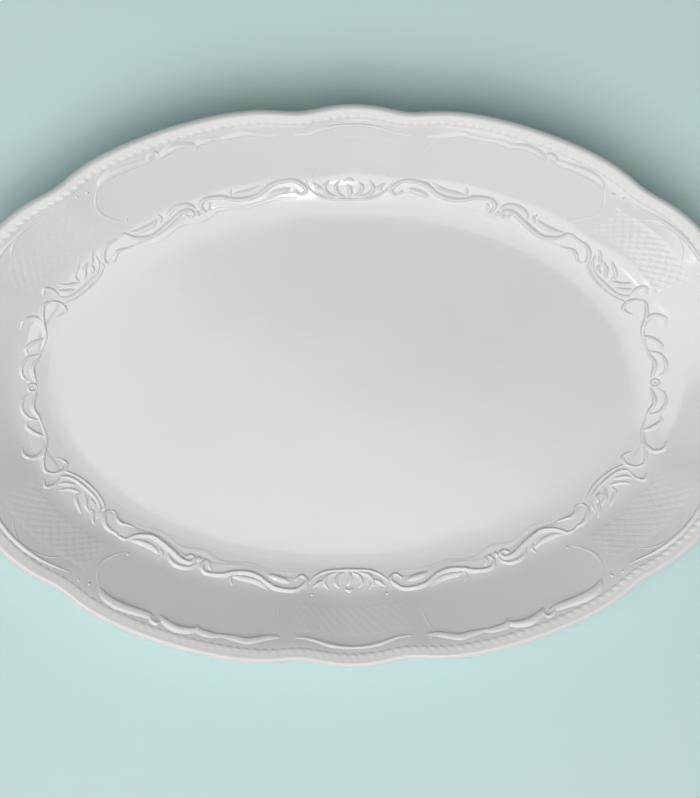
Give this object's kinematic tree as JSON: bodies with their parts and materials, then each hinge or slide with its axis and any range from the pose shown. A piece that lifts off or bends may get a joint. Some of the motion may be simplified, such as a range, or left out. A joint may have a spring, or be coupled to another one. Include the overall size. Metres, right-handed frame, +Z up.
{
  "type": "serving platter",
  "caption": "Oval porcelain serving platter: flat well, scalloped rim with a beaded edge, moulded scrolls, shells and basketwork, standing on an oval foot.",
  "frame": {"origin": "centre of the foot's resting face, on the table", "axes": "+X along the platter's length, +Y across it, +Z up out of the well"},
  "size_m": [0.3808, 0.251, 0.0311],
  "materials": {
    "glazed_porcelain": "smooth white glaze, glossy",
    "relief_porcelain": "glossy glaze pooled softly over moulded relief",
    "foot_porcelain": "glazed flanks, wiped unglazed resting face"
  },
  "bodies": {
    "root": {"basket_centre_n": "relief_porcelain", "basket_centre_s": "relief_porcelain", "basket_corner_ne": "relief_porcelain", "basket_corner_nw": "relief_porcelain", "basket_corner_se": "relief_porcelain", "basket_corner_sw": "relief_porcelain", "centre_line_n": "relief_porcelain", "centre_line_s": "relief_porcelain", "centre_shell_n": "relief_porcelain", "centre_shell_s": "relief_porcelain", "corner_fan_ne": "relief_porcelain", "corner_fan_nw": "relief_porcelain", "corner_fan_se": "relief_porcelain", "corner_fan_sw": "relief_porcelain", "corner_shell_ne": "relief_porcelain", "corner_shell_nw": "relief_porcelain", "corner_shell_se": "relief_porcelain", "corner_shell_sw": "relief_porcelain", "edge_beads": "relief_porcelain", "end_line_e": "relief_porcelain", "end_line_w": "relief_porcelain", "end_rosette_e": "relief_porcelain", "end_rosette_w": "relief_porcelain", "end_scroll_ne": "relief_porcelain", "end_scroll_nw": "relief_porcelain", "end_scroll_se": "relief_porcelain", "end_scroll_sw": "relief_porcelain", "foot_ring": "foot_porcelain", "inner_garland_ne": "relief_porcelain", "inner_garland_nw": "relief_porcelain", "inner_garland_se": "relief_porcelain", "inner_garland_sw": "relief_porcelain", "outer_scrolls_ne": "relief_porcelain", "outer_scrolls_nw": "relief_porcelain", "outer_scrolls_se": "relief_porcelain", "outer_scrolls_sw": "relief_porcelain", "platter_body": "glazed_porcelain"}
  },
  "joints": []
}
